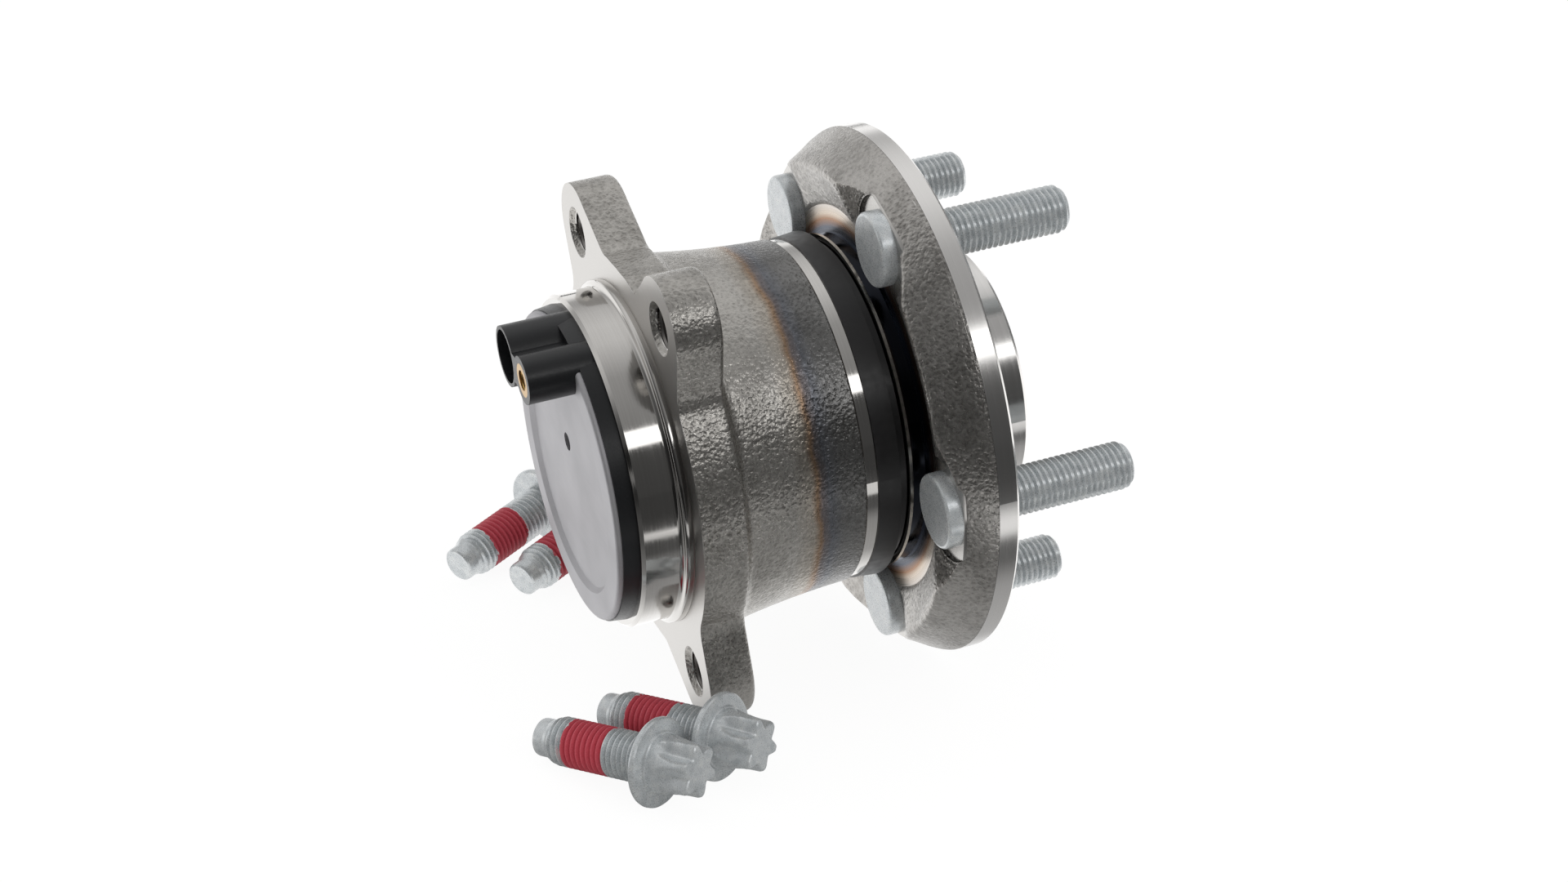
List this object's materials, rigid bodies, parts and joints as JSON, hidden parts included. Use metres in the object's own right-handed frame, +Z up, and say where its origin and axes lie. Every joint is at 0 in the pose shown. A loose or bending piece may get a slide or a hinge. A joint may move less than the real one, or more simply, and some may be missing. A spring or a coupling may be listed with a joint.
{
  "type": "wheel hub bearing",
  "caption": "Flanged wheel hub bearing with pressed wheel studs, bolt-on outer ring, lip seal, ball rows and a sensor cap with plug shroud; its mounting bolts lie beside it.",
  "frame": {"origin": "centre of the wheel-mounting face on the spindle axis", "axes": "+Y along the spindle towards the wheel, -Y towards the knuckle, +Z up between the two upper ears"},
  "size_m": [0.1582, 0.1506, 0.1344],
  "materials": {
    "forged_steel": "shot-blasted forging with bright turned and ground faces",
    "bearing_steel": "ground and polished bearing steel",
    "sheet_steel": "bright drawn sheet steel",
    "cover_steel": "matt grey sheet steel with faint rolling streaks",
    "zinc_flake_steel": "matt grey zinc flake coating on steel",
    "seal_rubber": "black moulded nitrile rubber",
    "encoder_rubber": "magnetised black rubber",
    "black_polymer": "semi-gloss black glass-filled polyamide",
    "cage_polymer": "natural glass-filled polyamide",
    "pin_metal": "tinned brass contact pins",
    "insert_brass": "turned brass"
  },
  "bodies": {
    "outer_ring_body": {"outer_ring": "forged_steel", "seal_case": "sheet_steel", "seal_rubber": "seal_rubber", "cap_ring": "black_polymer", "cap_plate": "cover_steel", "cap_oring": "seal_rubber", "sensor_head": "black_polymer", "connector_pins": "pin_metal", "screw_insert": "insert_brass", "mounting_bolt_1": "zinc_flake_steel", "mounting_bolt_2": "zinc_flake_steel", "mounting_bolt_3": "zinc_flake_steel", "mounting_bolt_4": "zinc_flake_steel"},
    "hub_body": {"hub_flange": "forged_steel", "inner_ring": "bearing_steel", "flinger": "sheet_steel", "encoder_carrier": "sheet_steel", "encoder_ring": "encoder_rubber", "wheel_stud_1": "zinc_flake_steel", "wheel_stud_2": "zinc_flake_steel", "wheel_stud_3": "zinc_flake_steel", "wheel_stud_4": "zinc_flake_steel", "wheel_stud_5": "zinc_flake_steel"},
    "outboard_ball_set": {"outboard_balls": "bearing_steel", "outboard_cage": "cage_polymer"},
    "inboard_ball_set": {"inboard_balls": "bearing_steel", "inboard_cage": "cage_polymer"}
  },
  "joints": [
    {"name": "hub_spin", "type": "hinge", "parent": "outer_ring_body", "child": "hub_body", "pos_m": [0, 0, 0], "axis": [0, 1, 0], "continuous": true},
    {"name": "outboard_cage_spin", "type": "hinge", "parent": "outer_ring_body", "child": "outboard_ball_set", "pos_m": [0, -0.0395, 0], "axis": [0, 1, 0], "continuous": true},
    {"name": "inboard_cage_spin", "type": "hinge", "parent": "outer_ring_body", "child": "inboard_ball_set", "pos_m": [0, -0.0655, 0], "axis": [0, 1, 0], "continuous": true}
  ],
  "couplings": [
    {"joint": "outboard_cage_spin", "follows": "hub_spin", "ratio": 0.4193},
    {"joint": "inboard_cage_spin", "follows": "hub_spin", "ratio": 0.4193}
  ]
}
